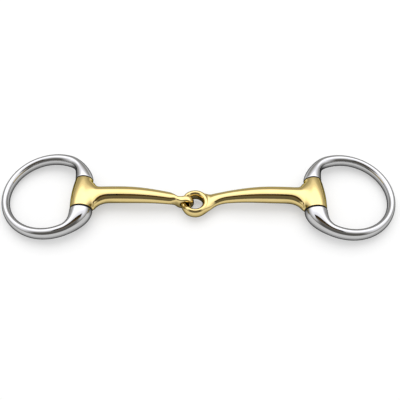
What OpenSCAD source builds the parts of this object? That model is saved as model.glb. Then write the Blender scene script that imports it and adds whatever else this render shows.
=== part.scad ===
// Single-jointed eggbutt snaffle bit, lying flat on a table with its rings spread.
// Row frame: X runs across the mouth, Y runs along the two barrels, Z is up from the table.

/* [Mouthpiece] */
// Distance between the two barrel axes
mouth_w = 152.5; // [140:0.5:165]
// Height of the barrel axes above the table
axis_z = 7.6; // [7.5:0.05:8.2]
// Cannon radius at its thickest, beside the barrel
bar_r_out = 5.5; // [5:0.05:5.8]
// Cannon radius at its thinnest, beside the eye
bar_r_in = 3.85; // [3.4:0.05:4.2]
// Rise of each cannon's arch
arch_h = 2.1; // [0:0.1:3]
// How far below the barrel axis each cannon starts
bar_drop = 0.8; // [0:0.1:1.2]
// How far forward of the barrel's middle each cannon starts
bar_lead = 0.4; // [0:0.1:1]
// How far the middle joint sits forward of the origin
joint_y = 6; // [4.8:0.1:7]
// How much further forward the right barrel lies than the left one
stagger = 0.8; // [0:0.1:1.2]
// How far the left cannon has swept forward by its inner end
left_sweep = 4.3; // [3:0.1:4.6]
// How far the right cannon has swept forward by its inner end
right_sweep = 2.4; // [1.6:0.1:3.2]

/* [Barrels] */
// Length of a barrel in front of the cannon's plane
barrel_front = 12.8; // [11:0.1:13.5]
// Length of a barrel behind the cannon's plane
barrel_rear = 10.7; // [10:0.1:12]
// Barrel radius at the rear end
barrel_r_rear = 5.75; // [5.4:0.05:6]
// Barrel radius at the front end
barrel_r_front = 7.2; // [6.8:0.05:7.25]
// Extra radius at the barrel's middle
barrel_bulge = 0.85; // [0:0.05:0.95]
// Rounding of the barrels' end rims
barrel_edge = 0.5; // [0.2:0.05:0.7]
// Fillet radius between cannon and barrel, front side
flare_front = 10; // [5:0.5:12]
// Fillet radius between cannon and barrel, rear side
flare_rear = 3.2; // [2:0.1:5]

/* [Centre joint] */
// Outer radius of the flat-lying right eye
flat_eye_r = 9.4; // [9.1:0.05:9.5]
// Hole radius of the flat-lying right eye
flat_eye_hole = 4.8; // [4.6:0.05:5]
// Height of the flat-lying right eye
flat_eye_h = 8.2; // [7.6:0.1:8.6]
// Outer radius of the upright left eye
tall_eye_r = 5.5; // [5.4:0.05:5.6]
// Hole radius of the upright left eye
tall_eye_hole = 3.2; // [3.1:0.05:3.3]
// Width of the upright left eye
tall_eye_w = 4.4; // [4:0.1:4.5]
// How far the upright eye sits behind the flat eye's middle
tall_eye_back = 1.2; // [0.4:0.1:1.4]
// How far the upright eye's centre lies inside the middle of the limb it holds
link_in = 0.8; // [0.6:0.1:1]
// Gap between one eye and the groove it runs in
eye_gap = 0.35; // [0.3:0.05:0.4]
// Rounding of the upright eye's outer rims
tall_eye_edge = 1.5; // [1:0.1:2]
// Rounding of the upright eye's hole
tall_hole_edge = 0.8; // [0.5:0.1:1]
// Half width of the right neck's front side where it enters the flat eye
neck_front = 4.9; // [4.4:0.1:5.2]
// Half width of the right neck's rear side where it enters the flat eye
neck_rear = 4.2; // [3.8:0.1:4.8]
// Half height of the right neck where it enters the flat eye
neck_up = 3.5; // [3.2:0.1:3.8]

/* [Cheek rings] */
// Radius of the ring's centre line
ring_r = 29.5; // [28:0.1:32]
// Distance from the barrel axis to the ring's centre
ring_c = 22.1; // [21:0.1:24]
// Ring stock width in the ring's plane, at the far arc
ring_w = 5.2; // [4.6:0.1:6]
// Ring stock height across the ring's plane, at the far arc
ring_h = 7.8; // [7:0.1:8]
// How much the stock thickens a quarter turn from the far arc
ring_grow = 1.25; // [0.6:0.05:1.5]
// Degrees that the oval stock leans towards the ring's middle
ring_lean = 7; // [0:0.5:12]
// Height of the low rim that each butt carries round its barrel end
butt_lip = 0.2; // [0:0.05:0.3]
// Rounding of the butts' rims
butt_edge = 0.5; // [0.2:0.05:0.7]
// Gap between a barrel end and the butt beside it
end_gap = 0.25; // [0.15:0.05:0.35]
// How long the butt's outer edge carries on in line with the ring
lead_out = 9; // [7:0.5:11]
// How long the butt's inner edge carries on in line with the ring
lead_in = 5; // [4:0.5:6]
// How long the front butt's outer edge runs in line with the barrel
front_hug = 8; // [6:0.5:10]
// How long the front butt's inner edge runs in line with the barrel
front_corner = 4.5; // [3.5:0.5:6]
// How long the rear butt's outer edge runs in line with the barrel
rear_hug = 5; // [4:0.5:7]
// How long the rear butt's inner edge runs in line with the barrel
rear_corner = 9.5; // [7:0.5:10]

/* [Hinge pins] */
// Radius of the hidden hinge pins
pin_r = 2; // [1.5:0.1:2.4]
// Radial running clearance of a pin in its barrel
pin_gap = 0.05; // [0.02:0.01:0.1]
// Length of pin held in each butt
pin_grip = 6; // [5:0.5:6.5]

/* [Colours] */
// Polished alloy of the mouthpiece
alloy_colour = "#d9bc79";
// Polished steel of the cheek rings
steel_colour = "#c9cbcd";
// Steel of the hidden pins
pin_colour = "#8d9093";

/* [Hidden] */
$fn = 48;
half_w = mouth_w / 2;
butt_front = barrel_front + end_gap;
butt_rear = barrel_rear + end_gap;
flat_eye_wall = flat_eye_r - flat_eye_hole;
flat_eye_x = -2.1;
link_x = flat_eye_x - flat_eye_r + flat_eye_wall / 2 + link_in;
flat_neck_x = flat_eye_x + flat_eye_r - flat_eye_wall / 2;
flat_neck_y = 0.4 - joint_y;
link_z = tall_eye_r;
tall_eye_y = tall_eye_back - joint_y;
groove_r = tall_eye_hole - eye_gap;
// Droop that brings the far arc down onto the table
ring_droop = asin((axis_z - ring_h / 2) / (ring_c + ring_r));
sweep_turn = 112;
// Last turn before the butts over which the stock's lean fades away
lean_run = 40;
// How late each cannon sweeps forward, as a power
left_sweep_power = 1.7;
right_sweep_power = 3;
neck_x = 19;
arch_x = 11;
taper_x = 10;
taper_run = 40;
rear_flare_step = 0.4;
tall_neck_share = [0.62, 0.8];
flat_neck_share = [1, 1];
tall_neck_lead = [0.64, 2.5];
flat_neck_lead = [1, 2.3];
tall_neck_square = 0.5;
swell_front = 1.4;
swell_rear = 1;

// ---- plain helpers ----

function mix(a, b, t) = a + (b - a) * t;
function ease(t) = let (c = min(1, max(0, t))) c * c * (3 - 2 * c);
function bezier(p, q, r, s, t) =
  p * pow(1 - t, 3) + 3 * q * t * pow(1 - t, 2) + 3 * r * t * t * (1 - t) + s * pow(t, 3);

// Closed skin over a list of equal-length loops, with a flat cap on each end
module skin(loops) {
  m = len(loops[0]);
  n = len(loops);
  points = [for (loop = loops) each loop];
  sides = [
    for (i = [0:n - 2], j = [0:m - 1])
      let (k = (j + 1) % m)
      each [
        [i * m + j, (i + 1) * m + j, (i + 1) * m + k],
        [i * m + j, (i + 1) * m + k, i * m + k]
      ]
  ];
  first_cap = [[for (j = [0:m - 1]) j]];
  last_cap = [[for (j = [0:m - 1]) (n - 1) * m + m - 1 - j]];
  polyhedron(points = points, faces = concat(first_cap, sides, last_cap), convexity = 8);
}

// ---- cannons ----

// Quarter-round fillet height at distance d from the wall it meets
function fillet(d, r) = d >= r ? 0 : r - sqrt(r * r - pow(r - max(d, 0), 2));

// Middle of the barrel on one side: -1 for left and 1 for right
function barrel_y(side) = -side * stagger / 2;
function barrel_middle(side) = [side * half_w, barrel_y(side), axis_z];

// Cannon centre line: forward sweep and height at distance x from the middle
function bar_sweep(side) = side < 0 ? left_sweep : right_sweep;
function bar_power(side) = side < 0 ? left_sweep_power : right_sweep_power;
function bar_y(x, side) =
  barrel_y(side) - bar_lead - bar_sweep(side) * pow(1 - x / half_w, bar_power(side));
function bar_t(x) = (half_w - x) / (half_w - arch_x);
function bar_z(x) =
  mix(axis_z - bar_drop, link_z, pow(bar_t(x), 3)) + arch_h * sin(180 * pow(bar_t(x), 1.4));
function bar_r(x) = mix(bar_r_in, bar_r_out, ease((x - taper_x) / taper_run));

// Sine or cosine made squarer: power 1 keeps it as it is, 0.5 gives a rounded box
function squared(v, power) = sign(v) * pow(abs(v), power);

// One cross-section in the YZ plane with separate front and rear half widths
function oval(x, y, z, front, rear, up, power = 1) = [
  for (a = [0:15:345])
    [x, y + squared(sin(a), power) * (sin(a) < 0 ? front : rear), z + squared(cos(a), power) * up]
];

// Cross-section of a cannon, flared where it meets the barrel
function bar_loop(x, side) =
  let (
    d = half_w - barrel_r_front - x,
    r = bar_r(x),
    y = bar_y(x, side),
    front = min(barrel_front - barrel_edge + y - barrel_y(side), r + fillet(d, flare_front)),
    rear = r + fillet(d - rear_flare_step, flare_rear)
  )
  oval(side * x, y, bar_z(x), front, rear, r);

// Stretch from inside the barrel to where the eye's neck starts
function outer_stations() = [
  for (share = [0.48, 0.76, 0.97]) half_w - share * barrel_r_front,
  for (k = [0:6]) half_w - barrel_r_front - 0.1 - flare_front * pow(k / 6, 1.6),
  for (k = [1:9]) mix(half_w - barrel_r_front - flare_front - 0.1, neck_x, k / 9)
];

// Cannon bar whose last stretch eases into an eye's neck: side is -1 for left and 1 for right.
// last = [x, y, z, front, rear, up] of the final section, which is buried in the eye.
// swell = [front, rear] extra half width just outside the eye, as a fillet.
// share = [share of the neck by which its final width is reached, the same for its height].
// lead = [share of the neck by which it has moved forward, power that delays that move].
// square = how boxy the section has become at the eye, as in squared().
module bar(side, last, swell, share, lead, square) {
  neck = [
    for (k = [1:9])
      let (
        t = k / 9,
        e = ease(t),
        w = ease(t / share[0]),
        u = ease(t / share[1]),
        s = sin(180 * pow(t, 4)),
        x = mix(neck_x, side * last[0], t),
        forward = ease(pow(t / lead[0], lead[1]))
      )
      oval(
        side * x,
        mix(bar_y(x, side), last[1], forward),
        mix(bar_z(max(x, arch_x)), last[2], e),
        mix(bar_r(x), last[3], w) + s * swell[0],
        mix(bar_r(x), last[4], w) + s * swell[1],
        mix(bar_r(x), last[5], u),
        mix(1, square, e)
      )
  ];
  loops = concat([for (x = outer_stations()) bar_loop(x, side)], neck);
  skin(side > 0 ? loops : [for (k = [len(loops) - 1:-1:0]) loops[k]]);
}

// Egg barrel: the radius tapers from front to rear with a slight belly
function barrel_r(t) = mix(barrel_r_front, barrel_r_rear, t) + 4 * barrel_bulge * t * (1 - t);

module barrel_body() {
  rotate([-90, 0, 0])
    rotate_extrude($fn = 72)
      polygon([
        [0, -barrel_front],
        for (a = [0:30:90])
          [barrel_r(0) - barrel_edge * (1 - sin(a)), -barrel_front + barrel_edge * (1 - cos(a))],
        for (k = [1:11]) [barrel_r(k / 12), mix(-barrel_front, barrel_rear, k / 12)],
        for (a = [90:-30:0])
          [barrel_r(1) - barrel_edge * (1 - sin(a)), barrel_rear - barrel_edge * (1 - cos(a))],
        [0, barrel_rear]
      ]);
}

module barrel_bore() {
  rotate([90, 0, 0])
    cylinder(r = pin_r + pin_gap, h = 2 * max(barrel_front, barrel_rear) + 2, center = true);
}

// Ring of oval section, axis along Z
module eye_ring(outer, hole, h) {
  rotate_extrude($fn = 72)
    polygon([
      for (a = [6:12:354])
        [(outer + hole) / 2 + (outer - hole) / 2 * cos(a), h / 2 * sin(a)]
    ]);
}

// Solid disc with rounded rims, axis along Z
module eye_disc(r, h, edge) {
  rotate_extrude($fn = 72)
    polygon([
      [0, -h / 2],
      for (a = [-90:15:0]) [r - edge + edge * cos(a), -h / 2 + edge + edge * sin(a)],
      for (a = [0:15:90]) [r - edge + edge * cos(a), h / 2 - edge + edge * sin(a)],
      [0, h / 2]
    ]);
}

// Round hole whose mouths are eased outward, axis along Z
module eye_hole(r, h, edge) {
  rotate_extrude($fn = 72)
    polygon([
      [0, -h / 2 - 1],
      [r + edge, -h / 2 - 1],
      for (a = [0:15:90]) [r + edge - edge * sin(a), -h / 2 + edge - edge * cos(a)],
      for (a = [90:-15:0]) [r + edge - edge * sin(a), h / 2 - edge + edge * cos(a)],
      [r + edge, h / 2 + 1],
      [0, h / 2 + 1]
    ]);
}

// Space that the upright eye sweeps as the joint folds
module link_groove() {
  translate([link_x, tall_eye_y, link_z])
    rotate([90, 0, 0])
      difference() {
        cylinder(r = tall_eye_r + eye_gap, h = tall_eye_w + 2 * eye_gap, center = true, $fn = 72);
        cylinder(r = groove_r, h = tall_eye_w + 2 * eye_gap + 1, center = true, $fn = 72);
      }
}

module left_cannon() {
  neck_end = [link_x - 1, tall_eye_y, link_z, tall_eye_w / 2, tall_eye_w / 2, tall_eye_r - 0.1];
  color(alloy_colour)
    difference() {
      union() {
        bar(-1, neck_end, [0, 0], tall_neck_share, tall_neck_lead, tall_neck_square);
        translate(barrel_middle(-1))
          barrel_body();
        translate([link_x, tall_eye_y, link_z])
          rotate([90, 0, 0])
            eye_disc(tall_eye_r, tall_eye_w, tall_eye_edge);
      }
      translate(barrel_middle(-1))
        barrel_bore();
      translate([link_x, tall_eye_y, link_z])
        rotate([90, 0, 0])
          eye_hole(tall_eye_hole, tall_eye_w, tall_hole_edge);
    }
}

module right_cannon() {
  neck_end = [flat_neck_x, flat_neck_y, link_z, neck_front, neck_rear, neck_up];
  color(alloy_colour)
    difference() {
      union() {
        bar(1, neck_end, [swell_front, swell_rear], flat_neck_share, flat_neck_lead, 1);
        translate(barrel_middle(1))
          barrel_body();
        translate([flat_eye_x, -joint_y, link_z])
          eye_ring(flat_eye_r, flat_eye_hole, flat_eye_h);
      }
      translate(barrel_middle(1))
        barrel_bore();
      link_groove();
    }
}

// ---- cheek rings ----

// Half width in plane and half height across plane at turn a from the far arc
function stock_w(a) = (ring_w + ring_grow * (1 - cos(a))) / 2;
function stock_h(a) = (ring_h + ring_grow * (1 - cos(a))) / 2;

// Outer and inner edge points of the stock on the round part
function edge_at(a, r) = [ring_c + r * cos(a), r * sin(a)];

// Oval section between two edge points in the ring's plane
function chord_loop(outer, inner, up) = [
  for (a = [0:18:342])
    let (mid = (outer + inner) / 2, arm = (outer - inner) / 2)
    [mid[0] + arm[0] * cos(a), mid[1] + arm[1] * cos(a), up * sin(a)]
];

// Lean of the oval at turn a from the far arc
function lean_at(a) = ring_lean * ease((sweep_turn - abs(a)) / lean_run);

// Section of the round part at turn a from the far arc, its upper edge leaning inward
function stock_loop(a, side) = [
  for (b = [0:18:342])
    let (
      lean = side * lean_at(a),
      out = stock_w(a) * cos(b),
      up = stock_h(a) * sin(b),
      r = ring_r + out * cos(lean) - up * sin(lean)
    )
    [ring_c + r * cos(a), r * sin(a), out * sin(lean) + up * cos(lean)]
];

// Butt section: t runs from 0 at the round part to 1 at the rounded rim by the barrel
function butt_loop(t, rim_r, end_y, hug, corner, side) =
  let (
    rim_y = end_y + butt_edge,
    w = stock_w(sweep_turn),
    dir = [-sin(sweep_turn), cos(sweep_turn)],
    outer_start = edge_at(sweep_turn, ring_r + w),
    inner_start = edge_at(sweep_turn, ring_r - w),
    outer = bezier(outer_start, outer_start + lead_out * dir, [-rim_r, rim_y + hug], [-rim_r, rim_y], t),
    inner = bezier(inner_start, inner_start + lead_in * dir, [rim_r, rim_y + corner], [rim_r, rim_y], t)
  )
  chord_loop(flip(outer, side), flip(inner, side), mix(stock_h(sweep_turn), rim_r, ease(t)));

// Section of the rim's rounding, from the butt's side at angle 0 to its flat end at angle 90
function rim_loop(a, rim_r, end_y, side) =
  let (r = rim_r - butt_edge * (1 - cos(a)), y = end_y + butt_edge * (1 - sin(a)))
  chord_loop(flip([-r, y], side), flip([r, y], side), r);

function flip(p, side) = [p[0], side * p[1]];

// Ring stock with both butts, barrel axis on the Y axis and the ring reaching towards +X.
// The left one is turned over when it is put at its barrel, so its oval leans the other way.
module ring_stock(side) {
  front_rim = barrel_r_front + butt_lip;
  rear_rim = barrel_r_rear + butt_lip;
  skin(concat(
    [for (a = [90:-30:30]) rim_loop(a, rear_rim, butt_rear, 1)],
    [for (k = [10:-1:0]) butt_loop(k / 10, rear_rim, butt_rear, rear_hug, rear_corner, 1)],
    [for (a = [sweep_turn - 8:-8:8 - sweep_turn]) stock_loop(a, side)],
    [for (k = [0:10]) butt_loop(k / 10, front_rim, butt_front, front_hug, front_corner, -1)],
    [for (a = [30:30:90]) rim_loop(a, front_rim, butt_front, -1)]
  ));
}

// Pin from inside the front butt to inside the rear butt
module pin_body() {
  translate([0, butt_rear + pin_grip, 0])
    rotate([90, 0, 0])
      cylinder(r = pin_r, h = butt_rear + butt_front + 2 * pin_grip);
}

module ring_body(side) {
  difference() {
    ring_stock(side);
    pin_body();
  }
}

// Puts a cheek piece at its barrel with the ring drooped onto the table
module at_barrel(side) {
  translate(barrel_middle(side))
    rotate([0, side > 0 ? ring_droop : 180 - ring_droop, 0])
      children();
}

module left_ring() {
  color(steel_colour)
    at_barrel(-1)
      ring_body(-1);
}

module right_ring() {
  color(steel_colour)
    at_barrel(1)
      ring_body(1);
}

// ---- hinge pins ----

module left_hinge_pin() {
  color(pin_colour)
    at_barrel(-1)
      pin_body();
}

module right_hinge_pin() {
  color(pin_colour)
    at_barrel(1)
      pin_body();
}

left_cannon();
right_cannon();
left_ring();
right_ring();
left_hinge_pin();
right_hinge_pin();
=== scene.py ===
import math

import bmesh
import bpy
from mathutils import Matrix, Vector


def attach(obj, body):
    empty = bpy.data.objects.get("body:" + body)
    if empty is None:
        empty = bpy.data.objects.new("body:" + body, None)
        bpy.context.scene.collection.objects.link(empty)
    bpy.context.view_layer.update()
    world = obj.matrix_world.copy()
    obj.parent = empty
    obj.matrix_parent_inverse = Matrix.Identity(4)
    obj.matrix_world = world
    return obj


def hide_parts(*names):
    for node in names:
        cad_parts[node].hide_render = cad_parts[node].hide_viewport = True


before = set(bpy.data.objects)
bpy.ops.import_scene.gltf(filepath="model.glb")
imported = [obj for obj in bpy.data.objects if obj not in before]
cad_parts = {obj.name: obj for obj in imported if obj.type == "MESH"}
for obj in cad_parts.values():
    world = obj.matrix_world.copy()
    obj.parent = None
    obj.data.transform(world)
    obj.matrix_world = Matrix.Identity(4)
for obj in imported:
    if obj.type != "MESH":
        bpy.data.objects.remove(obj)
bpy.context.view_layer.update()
mm = 0.001
weld = 0.002  # points closer than this become one
smoothLevels = 2
print("frame loaded")


# small helpers; everything below is worked out in millimetres
def mix(a, b, t):
    return a + (b - a) * t


def ease(t):
    c = min(1, max(0, t))
    return c * c * (3 - 2 * c)


def bezier(p, q, r, s, t):
    return p * (1 - t) ** 3 + q * 3 * t * (1 - t) ** 2 + r * 3 * t * t * (1 - t) + s * t ** 3


def roomy(count):
    # subdivision pulls a loop of this many points inward, so it starts this much wider
    return 3 / (2 + math.cos(math.tau / count))


def addLoop(bm, count, place):
    return bmesh.ops.create_circle(bm, segments=count, radius=1, matrix=place)["verts"]


def loopEdges(verts):
    inside = set(verts)
    return [e for e in {e for v in verts for e in v.link_edges} if set(e.verts) <= inside]


def bridge(bm, first, second):
    bmesh.ops.bridge_loops(bm, edges=first + second)


def skinLoops(bm, loops, closed=False):
    for a, b in zip(loops, loops[1:] + loops[:1] if closed else loops[1:]):
        bridge(bm, loopEdges(a), loopEdges(b))


def openPatch(bm, wanted):
    # takes the wanted faces out and gives back the edges round the hole
    patch = {f for f in bm.faces if wanted(f.calc_center_median())}
    rim = [e for f in patch for e in f.edges if sum(g in patch for g in e.link_faces) == 1]
    bmesh.ops.delete(bm, geom=list(patch), context="FACES")
    return rim


def makeObject(name, bm, *materials):
    mesh = bpy.data.meshes.new(name)
    bm.to_mesh(mesh)
    bm.free()
    made = bpy.data.objects.new(name, mesh)
    bpy.context.scene.collection.objects.link(made)
    for material in materials:
        mesh.materials.append(material)
    return made


def finishPiece(name, bm, body, node, material):
    bmesh.ops.remove_doubles(bm, verts=bm.verts, dist=weld)
    bmesh.ops.recalc_face_normals(bm, faces=bm.faces)
    bmesh.ops.scale(bm, verts=bm.verts, vec=(mm, mm, mm))
    for face in bm.faces:
        face.smooth = True
    # the second material paints shade on the faces along the seams
    piece = makeObject(name, bm, material, seamShadeMaterial)
    soft = piece.modifiers.new("smooth", "SUBSURF")
    soft.levels = soft.render_levels = smoothLevels
    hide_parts(node)
    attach(piece, body)


def tone(code):
    def channel(two):
        v = int(two, 16) / 255
        return v / 12.92 if v <= 0.04045 else ((v + 0.055) / 1.055) ** 2.4
    return (channel(code[1:3]), channel(code[3:5]), channel(code[5:7]), 1)


def addNode(tree, kind, settings=None, **links):
    # settings are node properties, links are values or sockets for an input's name or number (i0, i1)
    node = tree.nodes.new(kind)
    for key, value in (settings or {}).items():
        setattr(node, key, value)
    for key, value in links.items():
        byNumber = key[0] == "i" and key[1:].isdigit()
        socket = node.inputs[int(key[1:]) if byNumber else key.replace("_", " ")]
        if isinstance(value, bpy.types.NodeSocket):
            tree.links.new(value, socket)
        else:
            socket.default_value = value
    return node


def startMaterial(name):
    material = bpy.data.materials.new(name)
    material.use_nodes = True
    material.node_tree.nodes.clear()
    return material, material.node_tree


def buffedMetal(name, look):
    material, tree = startMaterial(name)
    place = addNode(tree, "ShaderNodeTexCoord").outputs["Object"]
    # slow drift of tone, a few millimetres across, as buffing leaves it
    drift = addNode(tree, "ShaderNodeTexNoise", Vector=place, Scale=1 / (look["driftMm"] * mm),
                    Detail=3.0, Roughness=0.55)
    colour = addNode(tree, "ShaderNodeMix", {"data_type": "RGBA"}, Factor=drift.outputs["Fac"],
                     i6=tone(look["colour"]), i7=tone(look["colourWorn"]))
    # faint haze left by the mop, seen as soft patches in the gloss
    haze = addNode(tree, "ShaderNodeTexNoise", Vector=place, Scale=1 / (look["hazeMm"] * mm),
                   Detail=4.0, Roughness=0.6)
    clear, dull = look["roughness"]
    gloss = addNode(tree, "ShaderNodeMapRange", Value=haze.outputs["Fac"], i1=hazeSpan[0], i2=hazeSpan[1],
                    i3=clear, i4=dull)
    # hairline mop marks, drawn coarser than the real ones so that they show
    stretched = addNode(tree, "ShaderNodeMapping", Vector=place, Scale=look["markStretch"])
    marks = addNode(tree, "ShaderNodeTexNoise", Vector=stretched.outputs["Vector"],
                    Scale=1 / (look["markMm"] * mm), Detail=2.0, Roughness=0.5)
    relief = addNode(tree, "ShaderNodeBump", Height=marks.outputs["Fac"], Strength=look["markStrength"],
                     Distance=look["markDepthMm"] * mm)
    metal = addNode(tree, "ShaderNodeBsdfPrincipled", Base_Color=colour.outputs[2], Metallic=1.0,
                    # the grazing tint is darker than the metal's own, so it paints shade along the rims
                    Roughness=gloss.outputs["Result"], Specular_Tint=tone(look["edge"]),
                    Normal=relief.outputs["Normal"])
    addNode(tree, "ShaderNodeOutputMaterial", Surface=metal.outputs["BSDF"])
    return material


hazeSpan = (0.35, 0.7)  # where most values of a noise texture lie

# Golden mouth alloy of copper, zinc and silicon, cast and buffed bright: pale yellow where it mirrors light,
# deep brown where it mirrors dark, with a dull olive edge that is partly the alloy's grazing tint and partly
# painted shade
goldenAlloy = {
    "colour": "#e8d296",
    "colourWorn": "#e1c884",
    "edge": "#5a6046",
    "roughness": (0.05, 0.1),
    "driftMm": 9,
    "hazeMm": 5,
    "markMm": 0.5,
    "markStretch": (0.12, 1, 1),
    "markDepthMm": 0.004,
    "markStrength": 0.5,
}

# Stainless steel, cast, ground and mirror polished: nearly colourless, sharp reflections
# with black and white bands and only a breath of haze
stainlessSteel = {
    "colour": "#cccccc",
    "colourWorn": "#c3c3c3",
    # a near-black grazing tint: painted dark rims
    "edge": "#303032",
    "roughness": (0.03, 0.07),
    "driftMm": 12,
    "hazeMm": 6,
    "markMm": 0.5,
    "markStretch": (1, 1, 0.15),
    "markDepthMm": 0.003,
    "markStrength": 0.4,
}

# Drawn steel wire of the hinge pins: greyer and duller, with fine turning marks along it
drawnSteel = {
    "colour": "#a9acaf",
    "colourWorn": "#93969a",
    # a darker grazing tint: painted shade along the rims
    "edge": "#6c6c6e",
    "roughness": (0.25, 0.38),
    "driftMm": 4,
    "hazeMm": 2,
    "markMm": 0.4,
    "markStretch": (1, 0.1, 1),
    "markDepthMm": 0.01,
    "markStrength": 0.6,
}

# Painted seam shade: a near-black colour on the faces in and beside the narrow seam between barrel and butt,
# standing in for the shade in the gap: a thin black line
seamShadeLook = {
    "colour": "#17140f",
    "colourPaler": "#2a251c",
    "roughness": 0.55,
    "ior": 1.3,
    "grainMm": 0.6,
}


def makeSeamShade(name, look):
    material, tree = startMaterial(name)
    place = addNode(tree, "ShaderNodeTexCoord").outputs["Object"]
    grain = addNode(tree, "ShaderNodeTexNoise", Vector=place, Scale=1 / (look["grainMm"] * mm), Detail=3.0)
    colour = addNode(tree, "ShaderNodeMix", {"data_type": "RGBA"}, Factor=grain.outputs["Fac"],
                     i6=tone(look["colour"]), i7=tone(look["colourPaler"]))
    shadeSurface = addNode(tree, "ShaderNodeBsdfPrincipled", Base_Color=colour.outputs[2],
                    Roughness=look["roughness"], IOR=look["ior"])
    addNode(tree, "ShaderNodeOutputMaterial", Surface=shadeSurface.outputs["BSDF"])
    return material


goldenFinish = buffedMetal("goldenAlloyBuffed", goldenAlloy)
# painted shade for the seams between barrel and butt
seamShadeMaterial = makeSeamShade("paintedSeamShade", seamShadeLook)
steelFinish = buffedMetal("stainlessSteelMirrorPolished", stainlessSteel)
pinFinish = buffedMetal("steelWireDrawn", drawnSteel)
print("materials made")


# cannons: one casting each of barrel, tapered bar and eye
cannon = {
    "mouthWidth": 152.5,  # between the two barrel axes
    "axisHeight": 7.6,
    "stagger": 0.8,  # the right barrel lies this much further forward
    "radiusOuter": 5.5,
    "radiusInner": 3.85,
    "taperFrom": 10,  # distance from the middle where the bar starts to thicken
    "taperRun": 40,
    "arch": 2.1,
    "archFrom": 11,
    "archPower": 1.4,
    "drop": 0.8,  # how far the bar leaves the barrel below its axis
    "lead": 0.4,  # and in front of it
    "sweep": {-1: 4.3, 1: 2.4},  # left and right
    "sweepPower": {-1: 1.7, 1: 3},
    "nearBarrel": (0.3, 0.9, 1.8, 3, 4.6, 7, 10),  # sections this far from the barrel's side
    "towardNeck": 7,  # and this many more up to the neck
    "neckStart": 19,
    "around": 28,  # points round the bar
}

barrel = {
    "front": 12.8,
    "rear": 10.7,
    "radiusFront": 7.2,
    "radiusRear": 5.75,
    "bulge": 0.85,
    "flareFront": 10,
    "flareRear": 3.2,
    "flareStep": 0.4,  # the rear flare starts this much nearer to the barrel
    "bore": 2.12,
    "rim": 0.5,  # size of the eased rim
    "seamFront": 0.8,  # how far the painted seam shade reaches out of each seam
    "seamRear": 0.1,
    "patch": (-11.7, -8.4, -5.1, -1.8, 1.5, 4.7, 7.9),  # rows that the bar grows out of
    "patchTurn": 56.6,  # degrees each side of level that it takes
    "core": 4,  # faces nearer to the axis than this stay
    "around": 24,
}

flatEye = {
    "centre": (-2.1, -6.0, 5.5),
    "radius": 9.4,
    "hole": 4.8,
    "height": 8.2,
    "turns": (-50, -33, -17, 0, 17, 33, 50, 70, 90, 110, 135, 160, 180, 200, 225, 250, 270, 290),
    "linkThin": 0.62,  # share of the height left where the other eye runs
    "linkTurn": 25,  # degrees of full thinning each side, and of fading after it
    "linkFade": 17,
    "patch": {"reach": 45, "thick": 0.78, "depth": 0.5},
    "around": 32,
    "neck": {"stations": (0.12, 0.24, 0.36, 0.48, 0.6, 0.7, 0.79), "swell": (1.4, 1), "share": (1, 1),
             "lead": (1, 2.3), "square": 1},
    "neckEnd": {"front": 4.9, "rear": 4.2, "up": 3.5},
    "neckBack": 0.4,  # the neck meets the eye this far behind its centre
}

tallEye = {
    "centre": (-8.4, -4.8, 5.5),
    "radius": 5.5,
    "hole": 3.2,
    "width": 4.4,
    # points that round the edges: distance in from the rim or the hole, distance in from the side
    "rimEdge": ((1.15, 0), (0.35, 0.3), (0, 1.1)),
    "holeEdge": ((0.35, 0.05), (0, 0.7)),
    "patch": {"reach": 60, "past": 1, "depth": 1.2},
    "around": 24,
    "neck": {"stations": (0.12, 0.24, 0.36, 0.47, 0.58), "swell": (0, 0), "share": (0.62, 0.8),
             "lead": (0.64, 2.5), "square": 0.5},
    "neckPast": 1,  # the neck ends this far past the eye's centre
    "neckUnder": 0.1,  # and this much inside its rim
}

halfWidth = cannon["mouthWidth"] / 2
eyeMargin = 1  # this far past an eye's rim still counts as the eye


def barT(x):
    return (halfWidth - x) / (halfWidth - cannon["archFrom"])


def barrelY(side):
    return -side * cannon["stagger"] / 2


def barY(x, side):
    forward = cannon["sweep"][side] * (1 - x / halfWidth) ** cannon["sweepPower"][side]
    return barrelY(side) - cannon["lead"] - forward


def barZ(x):
    t = barT(x)
    rise = cannon["arch"] * math.sin(math.pi * t ** cannon["archPower"])
    return mix(cannon["axisHeight"] - cannon["drop"], tallEye["radius"], t ** 3) + rise


def barRadius(x):
    share = ease((x - cannon["taperFrom"]) / cannon["taperRun"])
    return mix(cannon["radiusInner"], cannon["radiusOuter"], share)


def fillet(d, r):
    return 0 if d >= r else r - math.sqrt(r * r - (r - max(d, 0)) ** 2)


def barrelRadius(y):
    # a straight taper with a bulge that is greatest halfway
    t = (y + barrel["front"]) / (barrel["front"] + barrel["rear"])
    return mix(barrel["radiusFront"], barrel["radiusRear"], t) + 4 * barrel["bulge"] * t * (1 - t)


def squared(v, power):
    # power 1 keeps a sine as it is, 0.5 turns a round section into a rounded box
    return math.copysign(abs(v) ** power, v)


def ovalLoop(bm, x, y, z, front, rear, up, power=1):
    wide = roomy(cannon["around"])
    verts = addLoop(bm, cannon["around"], Matrix.Identity(4))
    for v in verts:
        reach = rear if v.co.y > 0 else front
        v.co = Vector((x, y + squared(v.co.y, power) * reach * wide,
                       z + squared(v.co.x, power) * up * wide))
    return verts


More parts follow.
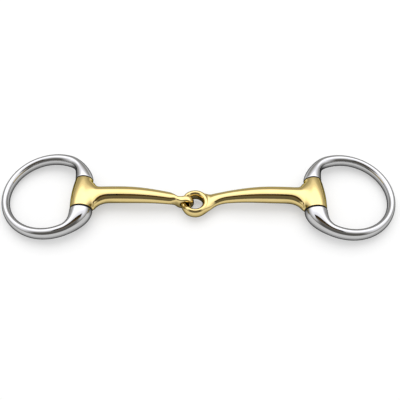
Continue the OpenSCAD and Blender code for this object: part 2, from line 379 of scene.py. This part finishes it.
def addBarrel(bm, side):
    front, rear, rim = -barrel["front"], barrel["rear"], barrel["rim"]
    bore = barrel["bore"]
    first, last = barrel["patch"][0], barrel["patch"][-1]
    outer = [front, front + barrel["seamFront"], *barrel["patch"], (last + rear) / 2, rear - rim, rear]
    profile = [(barrelRadius(y), y) for y in outer]
    profile += [(barrelRadius(rear) - rim, rear), (bore + rim, rear), (bore, rear - rim), (bore, 0),
                (bore, front + rim), (bore + rim, front), (barrelRadius(front) - rim, front)]
    loops = []
    for r, y in profile:
        wide = r * roomy(barrel["around"])
        place = Matrix.Translation((side * halfWidth, barrelY(side) + y, cannon["axisHeight"]))
        place = place @ Matrix.Rotation(math.pi / 2, 4, "X") @ Matrix.Scale(wide, 4)
        loops.append(addLoop(bm, barrel["around"], place))
    skinLoops(bm, loops, closed=True)
    # faces in and beside each seam take the painted seam shade
    for face in bm.faces:
        y = face.calc_center_median().y - barrelY(side)
        face.material_index = int(y < front + barrel["seamFront"] or y > rear - barrel["seamRear"])

    def facesBar(c):
        flat = Vector((c.x - side * halfWidth, 0, c.z - cannon["axisHeight"]))
        inRow = first < c.y - barrelY(side) < last
        level = math.cos(math.radians(barrel["patchTurn"]))
        return inRow and flat.length > barrel["core"] and -side * flat.x / flat.length > level
    return openPatch(bm, facesBar)


def addEye(bm, eye, profile, upright):
    loops = []
    turn = Matrix.Rotation(math.pi / 2, 4, "X") if upright else Matrix.Identity(4)
    for r, h in profile:
        wide = r * roomy(eye["around"])
        place = Matrix.Translation(eye["centre"]) @ turn @ Matrix.Translation((0, 0, h))
        loops.append(addLoop(bm, eye["around"], place @ Matrix.Scale(wide, 4)))
    skinLoops(bm, loops, closed=True)


def eyePatch(bm, eye, upright, toward, thick, innerRadius):
    # toward is the x direction in which the neck leaves
    centre = Vector(eye["centre"])

    def facesNeck(c):
        d = c - centre
        across, flat = (d.y, Vector((d.x, 0, d.z))) if upright else (d.z, Vector((d.x, d.y, 0)))
        if not innerRadius < flat.length < eye["radius"] + eyeMargin or abs(across) > thick:
            return False
        return toward * d.x / flat.length > math.cos(math.radians(eye["patch"]["reach"]))
    return openPatch(bm, facesNeck)


def outerStations():
    wall = halfWidth - barrel["radiusFront"]
    near = [wall - d for d in cannon["nearBarrel"]]
    count = cannon["towardNeck"]
    return near + [mix(near[-1], cannon["neckStart"], k / count) for k in range(1, count + 1)]


def barSections(bm, side, last, neck):
    # from the barrel to the neck, and then on to where the neck ends in the eye
    loops = []
    for x in outerStations():
        d = halfWidth - barrel["radiusFront"] - x
        r = barRadius(x)
        y = barY(x, side)
        # neither side reaches past the rows that the bar grows out of
        back = y - barrelY(side)
        front = min(back - barrel["patch"][0], r + fillet(d, barrel["flareFront"]))
        rear = min(barrel["patch"][-1] - back, r + fillet(d - barrel["flareStep"], barrel["flareRear"]))
        loops.append(ovalLoop(bm, side * x, y, barZ(x), front, rear, r))
    for t in neck["stations"]:
        x = mix(cannon["neckStart"], side * last["x"], t)
        bulge = math.sin(math.pi * t ** 4)  # strongest just before the eye
        slim = ease(t / neck["share"][0])
        loops.append(ovalLoop(
            bm, side * x,
            mix(barY(x, side), last["y"], ease((t / neck["lead"][0]) ** neck["lead"][1])),
            mix(barZ(max(x, cannon["archFrom"])), last["z"], ease(t)),
            mix(barRadius(x), last["front"], slim) + bulge * neck["swell"][0],
            mix(barRadius(x), last["rear"], slim) + bulge * neck["swell"][1],
            mix(barRadius(x), last["up"], ease(t / neck["share"][1])),
            mix(1, neck["square"], ease(t))))
    return loops


def makeLeftCannon():
    bm = bmesh.new()
    barrelHole = addBarrel(bm, -1)
    w, r, hole = tallEye["width"] / 2, tallEye["radius"], tallEye["hole"]
    rimEdge, holeEdge, patch = tallEye["rimEdge"], tallEye["holeEdge"], tallEye["patch"]
    profile = [(r - a, b - w) for a, b in rimEdge] + [(r, 0)]
    profile += [(r - a, w - b) for a, b in reversed(rimEdge)]
    profile += [(hole + a, w - b) for a, b in holeEdge] + [(hole, 0)]
    profile += [(hole + a, b - w) for a, b in reversed(holeEdge)]
    addEye(bm, tallEye, profile, True)
    eyeHole = eyePatch(bm, tallEye, True, -1, w + patch["past"], r - patch["depth"])
    x, y, z = tallEye["centre"]
    last = {"x": x - tallEye["neckPast"], "y": y, "z": z,
            "front": w, "rear": w, "up": r - tallEye["neckUnder"]}
    loops = barSections(bm, -1, last, tallEye["neck"])
    skinLoops(bm, loops)
    bridge(bm, barrelHole, loopEdges(loops[0]))
    bridge(bm, eyeHole, loopEdges(loops[-1]))
    finishPiece("leftCannonCasting", bm, "left_arm", "left_cannon", goldenFinish)


def makeRightCannon():
    bm = bmesh.new()
    barrelHole = addBarrel(bm, 1)
    h, r, hole = flatEye["height"] / 2, flatEye["radius"], flatEye["hole"]
    middle, wall = (r + hole) / 2, (r - hole) / 2
    turns = [math.radians(a) for a in flatEye["turns"]]
    addEye(bm, flatEye, [(middle + wall * math.cos(a), h * math.sin(a)) for a in turns], False)
    centre = Vector(flatEye["centre"])
    for v in bm.verts:
        d = v.co - centre
        if d.xy.length < r + eyeMargin:
            away = math.degrees(math.atan2(abs(d.y), -d.x))
            back = ease((away - flatEye["linkTurn"]) / flatEye["linkFade"])
            v.co.z = centre.z + d.z * mix(flatEye["linkThin"], 1, back)
    patch = flatEye["patch"]
    eyeHole = eyePatch(bm, flatEye, False, 1, h * patch["thick"], middle + wall * patch["depth"])
    last = {"x": centre.x + middle, "y": centre.y + flatEye["neckBack"], "z": centre.z, **flatEye["neckEnd"]}
    loops = barSections(bm, 1, last, flatEye["neck"])
    skinLoops(bm, loops)
    bridge(bm, barrelHole, loopEdges(loops[0]))
    bridge(bm, eyeHole, loopEdges(loops[-1]))
    finishPiece("rightCannonCasting", bm, "right_arm", "right_cannon", goldenFinish)


makeLeftCannon()
makeRightCannon()
print("cannons made")


# cheek rings: oval stock that swells into an egg butt at each barrel end
cheek = {
    "radius": 29.5,
    "centre": 22.1,  # from the barrel axis
    "width": 5.2,
    "height": 7.8,
    "grow": 1.25,
    "lean": 7,  # degrees that the stock's upper edge leans inward
    "leanRun": 40,  # last degrees of round stock, over which the lean fades away
    "lip": 0.2,  # how much wider a butt is than the barrel's end
    "endGap": 0.25,
    "leadOut": 9,
    "leadIn": 5,
    "front": {"hug": 8, "corner": 4.5},
    "rear": {"hug": 5, "corner": 9.5},
    "sweep": 112,  # degrees of round stock each side of the far arc
    "step": 8,
    "buttSteps": (0.12, 0.24, 0.36, 0.48, 0.6, 0.72, 0.83, 0.92, 0.97, 1),
    "around": 20,
    "rim": 0.5,
    "capInset": 0.5,  # share of the radius where the flat end is divided
    "seamFront": 0.4,  # how far the painted seam shade reaches out of each seam
    "seamRear": 0.05,
}
# the ring hangs down from its barrel until its far arc rests on the table
droop = math.asin((cannon["axisHeight"] - cheek["height"] / 2) / (cheek["centre"] + cheek["radius"]))


def stockHalf(turn, size):
    return (cheek[size] + cheek["grow"] * (1 - math.cos(math.radians(turn)))) / 2


def edgeAt(turn, r):
    a = math.radians(turn)
    return Vector((cheek["centre"] + r * math.cos(a), r * math.sin(a)))


def chordLoop(bm, outer, inner, up, lean=0):
    # an oval section between the inner and the outer edge, its top leaning towards the inner one
    wide = roomy(cheek["around"])
    mid, arm = (outer + inner) / 2, (outer - inner) / 2 * wide
    across, rise = arm * math.cos(lean), -arm.normalized() * up * wide * math.sin(lean)
    place = Matrix(((across.x, rise.x, 0, mid.x),
                    (across.y, rise.y, 0, mid.y),
                    (arm.length * math.sin(lean), up * wide * math.cos(lean), 1, 0),
                    (0, 0, 0, 1)))
    return addLoop(bm, cheek["around"], place)


def buttLoop(bm, t, rimRadius, rimY, end, side):
    turn = cheek["sweep"]
    w = stockHalf(turn, "width")
    a = math.radians(turn)
    along = Vector((-math.sin(a), math.cos(a)))
    outerStart, innerStart = edgeAt(turn, cheek["radius"] + w), edgeAt(turn, cheek["radius"] - w)
    outer = bezier(outerStart, outerStart + along * cheek["leadOut"],
                   Vector((-rimRadius, rimY + end["hug"])), Vector((-rimRadius, rimY)), t)
    inner = bezier(innerStart, innerStart + along * cheek["leadIn"],
                   Vector((rimRadius, rimY + end["corner"])), Vector((rimRadius, rimY)), t)
    flip = Vector((1, side))
    return chordLoop(bm, outer * flip, inner * flip, mix(stockHalf(turn, "height"), rimRadius, ease(t)))


def makeCheek(name, side, body, node):
    bm = bmesh.new()
    rearRim, frontRim = barrel["radiusRear"] + cheek["lip"], barrel["radiusFront"] + cheek["lip"]
    rearY, frontY = barrel["rear"] + cheek["endGap"], barrel["front"] + cheek["endGap"]
    loops = [buttLoop(bm, t, rearRim, rearY, cheek["rear"], 1) for t in reversed(cheek["buttSteps"])]
    for turn in range(cheek["sweep"], -cheek["sweep"] - 1, -cheek["step"]):
        w = stockHalf(turn, "width")
        lean = side * math.radians(cheek["lean"]) * ease((cheek["sweep"] - abs(turn)) / cheek["leanRun"])
        outer, inner = edgeAt(turn, cheek["radius"] + w), edgeAt(turn, cheek["radius"] - w)
        loops.append(chordLoop(bm, outer, inner, stockHalf(turn, "height"), lean))
    loops += [buttLoop(bm, t, frontRim, frontY, cheek["front"], -1) for t in cheek["buttSteps"]]
    skinLoops(bm, loops)
    for rim, r in ((loops[0], rearRim), (loops[-1], frontRim)):
        face = bmesh.ops.contextual_create(bm, geom=loopEdges(rim))["faces"]
        for size in (cheek["rim"], r * cheek["capInset"]):
            bmesh.ops.inset_region(bm, faces=face, thickness=size)
        bmesh.ops.poke(bm, faces=face)
    # faces in and beside each seam take the painted seam shade
    for face in bm.faces:
        c = face.calc_center_median()
        inSeam = -frontY - cheek["seamFront"] < c.y < rearY + cheek["seamRear"]
        face.material_index = int(inSeam and abs(c.x) < frontRim)
    turn = droop if side > 0 else math.pi - droop
    place = Matrix.Translation((side * halfWidth, barrelY(side), cannon["axisHeight"]))
    bmesh.ops.transform(bm, matrix=place @ Matrix.Rotation(turn, 4, "Y"), verts=bm.verts)
    finishPiece(name, bm, body, node, steelFinish)


makeCheek("leftCheekRing", -1, "left_cheek", "left_ring")
makeCheek("rightCheekRing", 1, "right_cheek", "right_ring")
print("cheek rings made")

for node in ("left_hinge_pin", "right_hinge_pin"):
    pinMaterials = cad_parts[node].data.materials
    pinMaterials.clear()
    pinMaterials.append(pinFinish)
print("hinge pins finished")


# stage: white floor and a soft room that the metal mirrors
studio = {
    "floorLit": 0.52,  # share of the floor's white that takes the shadow
    "floorGlow": 0.46,
    "floorPaintedShade": 0.05,  # how strongly painted shade darkens it close under the metal
    "mirroredLit": 0.3,  # the same floor as the metal sees it
    "mirroredGlow": 0.6,
    # painted shade close under the metal, much stronger in the floor that the metal mirrors
    "mirroredPaintedShade": 1.6,
    "bouncedLit": 0.7,  # and as matt surfaces see it
    "contactMm": 14,
    "floorReach": 4,  # metres from the middle to each side
    "roomFill": 0.72,
    "keyWatts": 6.5,
    "keySize": (1.3, 0.9),
    "keyElevation": 62,
    "keyDistance": 1,
    # what the metal mirrors, from the front horizon over the top to the back horizon, in degrees
    "overTop": [(0, 0.22), (10, 0.15), (30, 0.15), (42, 0.2), (52, 0.4), (60, 0.75), (70, 1.05), (82, 1.4),
                (104, 1.95), (129, 2), (139, 1.12), (147, 0.66), (156, 0.5), (166, 0.45), (180, 0.42)],
    # and straight out to either side, from the horizon up
    "overSide": [(0, 0.3), (10, 0.6), (20, 1.0), (32, 1.4), (90, 1.5)],
    "sideSpan": (0.55, 0.9),  # share of sideways direction over which the one turns into the other
    # the room's dark things are warm and its bright ones slightly cool, as share of red, green and blue
    "darkTint": (1, 0.97, 0.9),
    "brightTint": (1, 1, 1.05),
    "brightFrom": 1.5,
}

# dark cloth held in front of and above the mouthpiece, seen only in the metal
flag = {
    "distance": 220,
    "elevation": 58,
    "width": 262,
    "height": 94,
    "upperColour": "#271d0d",
    "lowerColour": "#655235",
    "endColour": "#242427",
    "brownTo": 100,  # brown up to here each side of the middle, neutral at its ends
    "neutralFrom": 112,
}


def makeFloor():
    material, tree = startMaterial("paperWhiteMatt")
    path = addNode(tree, "ShaderNodeLightPath").outputs

    # painted contact shade: ambient occlusion darkens the paper's colour and its glow where metal lies close
    # above it
    contact = addNode(tree, "ShaderNodeAmbientOcclusion", {"samples": 8}, Distance=studio["contactMm"] * mm)
    openness = contact.outputs["AO"]

    def paper(lit, glow, strength):
        near = addNode(tree, "ShaderNodeMath", {"operation": "POWER"}, i0=openness, i1=strength).outputs[0]
        tint = addNode(tree, "ShaderNodeMath", {"operation": "MULTIPLY"}, i0=near, i1=lit).outputs[0]
        level = addNode(tree, "ShaderNodeMath", {"operation": "MULTIPLY"}, i0=near, i1=glow).outputs[0]
        matt = addNode(tree, "ShaderNodeBsdfDiffuse", Color=tint)
        shine = addNode(tree, "ShaderNodeEmission", Color=(1, 1, 1, 1), Strength=level)
        return addNode(tree, "ShaderNodeAddShader", i0=matt.outputs[0], i1=shine.outputs[0]).outputs[0]

    seen = paper(studio["floorLit"], studio["floorGlow"], studio["floorPaintedShade"])
    mirrored = paper(studio["mirroredLit"], studio["mirroredGlow"], studio["mirroredPaintedShade"])
    bounced = paper(studio["bouncedLit"], 0, 0)
    unseen = addNode(tree, "ShaderNodeMixShader", Fac=path["Is Glossy Ray"], i1=bounced, i2=mirrored)
    final = addNode(tree, "ShaderNodeMixShader", Fac=path["Is Camera Ray"], i1=unseen.outputs[0], i2=seen)
    addNode(tree, "ShaderNodeOutputMaterial", Surface=final.outputs[0])
    bm = bmesh.new()
    bmesh.ops.create_grid(bm, x_segments=1, y_segments=1, size=studio["floorReach"])
    floor = makeObject("floor", bm, material)


def levelRamp(tree, value, stops, span):
    # turns an angle in degrees into the light that comes from there, smooth between the stops
    along = addNode(tree, "ShaderNodeMath", {"operation": "DIVIDE"}, i0=value, i1=span)
    ramp = addNode(tree, "ShaderNodeValToRGB", Fac=along.outputs[0])
    ramp.color_ramp.interpolation = "EASE"
    marks = ramp.color_ramp.elements
    while len(marks) < len(stops):
        marks.new(1)
    for mark, (angle, level) in zip(marks, stops):
        mark.position = angle / span
        share = ease(level / studio["brightFrom"])
        tint = [mix(dark, bright, share) for dark, bright in zip(studio["darkTint"], studio["brightTint"])]
        mark.color = (*(level * t for t in tint), 1)
    return ramp.outputs["Color"]


def makeRoom():
    world = bpy.data.worlds.new("softRoom")
    bpy.context.scene.world = world
    world.use_nodes = True
    tree = world.node_tree
    tree.nodes.clear()
    path = addNode(tree, "ShaderNodeLightPath").outputs
    toward = addNode(tree, "ShaderNodeTexCoord").outputs["Generated"]
    split = addNode(tree, "ShaderNodeSeparateXYZ", Vector=toward).outputs

    def maths(operation, *values):
        links = {"i%d" % k: v for k, v in enumerate(values)}
        return addNode(tree, "ShaderNodeMath", {"operation": operation}, **links).outputs[0]

    height = maths("MAXIMUM", split["Z"], 0.0)
    turned = maths("ARCTAN2", height, maths("MULTIPLY", split["Y"], -1.0))
    overTop = levelRamp(tree, maths("DEGREES", turned), studio["overTop"], 180)
    overSide = levelRamp(tree, maths("DEGREES", maths("ARCSINE", height)), studio["overSide"], 90)
    sideFrom, sideTo = studio["sideSpan"]
    aside = addNode(tree, "ShaderNodeMapRange", {"interpolation_type": "SMOOTHSTEP"},
                    Value=maths("ABSOLUTE", split["X"]), i1=sideFrom, i2=sideTo)
    mirrored = addNode(tree, "ShaderNodeMix", {"data_type": "RGBA"}, Factor=aside.outputs["Result"],
                       i6=overTop, i7=overSide)
    fill = studio["roomFill"]
    inMetal = addNode(tree, "ShaderNodeMix", {"data_type": "RGBA"}, Factor=path["Is Glossy Ray"],
                      i6=(fill, fill, fill, 1), i7=mirrored.outputs[2])
    colour = addNode(tree, "ShaderNodeMix", {"data_type": "RGBA"}, Factor=path["Is Camera Ray"],
                     i6=inMetal.outputs[2], i7=(1, 1, 1, 1))
    sky = addNode(tree, "ShaderNodeBackground", Color=colour.outputs[2], Strength=1.0)
    addNode(tree, "ShaderNodeOutputWorld", Surface=sky.outputs[0])


def facing(azimuth, elevation, distance):
    # a place in that direction from the bit, its face turned to the bit; azimuth 0 is in front (-Y)
    a, e = math.radians(azimuth), math.radians(elevation)
    spot = Vector((math.sin(a) * math.cos(e), -math.cos(a) * math.cos(e), math.sin(e))) * distance
    return Matrix.Translation(spot) @ spot.to_track_quat("Z", "Y").to_matrix().to_4x4()


def makeFlag():
    material, tree = startMaterial("blackFlagCloth")
    place = addNode(tree, "ShaderNodeTexCoord").outputs["Object"]
    spot = addNode(tree, "ShaderNodeSeparateXYZ", Vector=place).outputs
    across = addNode(tree, "ShaderNodeMath", {"operation": "ABSOLUTE"}, i0=spot["X"])
    end = addNode(tree, "ShaderNodeMapRange", Value=across.outputs[0],
                  i1=flag["brownTo"] * mm, i2=flag["neutralFrom"] * mm)
    tilt = math.radians(flag["elevation"])
    middle, half = flag["distance"] * math.sin(tilt), flag["height"] / 2 * math.cos(tilt)
    rise = addNode(tree, "ShaderNodeMapRange", Value=spot["Z"],
                   i1=(middle - half) * mm, i2=(middle + half) * mm)
    shade = addNode(tree, "ShaderNodeMix", {"data_type": "RGBA"}, Factor=rise.outputs["Result"],
                    i6=tone(flag["lowerColour"]), i7=tone(flag["upperColour"]))
    dyed = addNode(tree, "ShaderNodeMix", {"data_type": "RGBA"}, Factor=end.outputs["Result"],
                   i6=shade.outputs[2], i7=tone(flag["endColour"]))
    glow = addNode(tree, "ShaderNodeEmission", Color=dyed.outputs[2], Strength=1.0)
    addNode(tree, "ShaderNodeOutputMaterial", Surface=glow.outputs[0])
    bm = bmesh.new()
    spread = Matrix.Diagonal((flag["width"], flag["height"], 1, 1))
    hung = facing(0, flag["elevation"], flag["distance"]) @ spread
    bmesh.ops.create_grid(bm, x_segments=1, y_segments=1, size=0.5, matrix=hung)
    bmesh.ops.scale(bm, verts=bm.verts, vec=(mm, mm, mm))
    cloth = makeObject("flag", bm, material)
    cloth.visible_camera = cloth.visible_diffuse = cloth.visible_shadow = False


makeFloor()
makeRoom()
makeFlag()

# the softbox stands behind the bit and throws its shadow forward
key = bpy.data.lights.new("softBox", "AREA")
key.shape = "RECTANGLE"
key.size, key.size_y = studio["keySize"]
key.energy = studio["keyWatts"]
keySpot = bpy.data.objects.new("softBox", key)
keySpot.matrix_world = facing(180, studio["keyElevation"], studio["keyDistance"])
keySpot.visible_glossy = False
bpy.context.scene.collection.objects.link(keySpot)

view = {
    "elevation": 56.8,
    "distance": 0.4156,
    "lens": 55.8,
    "aim": (0, 0.0006, 0),
    "shiftX": 0.0041,
}
cameraData = bpy.data.cameras.new("productCamera")
cameraData.lens = view["lens"]
cameraData.sensor_width = 36
cameraData.shift_x = view["shiftX"]
cameraData.clip_start = 0.01
camera = bpy.data.objects.new("productCamera", cameraData)
camera.matrix_world = Matrix.Translation(view["aim"]) @ facing(0, view["elevation"], view["distance"])
bpy.context.scene.collection.objects.link(camera)
bpy.context.scene.camera = camera
bpy.context.scene.view_settings.view_transform = "Standard"
print("stage set")
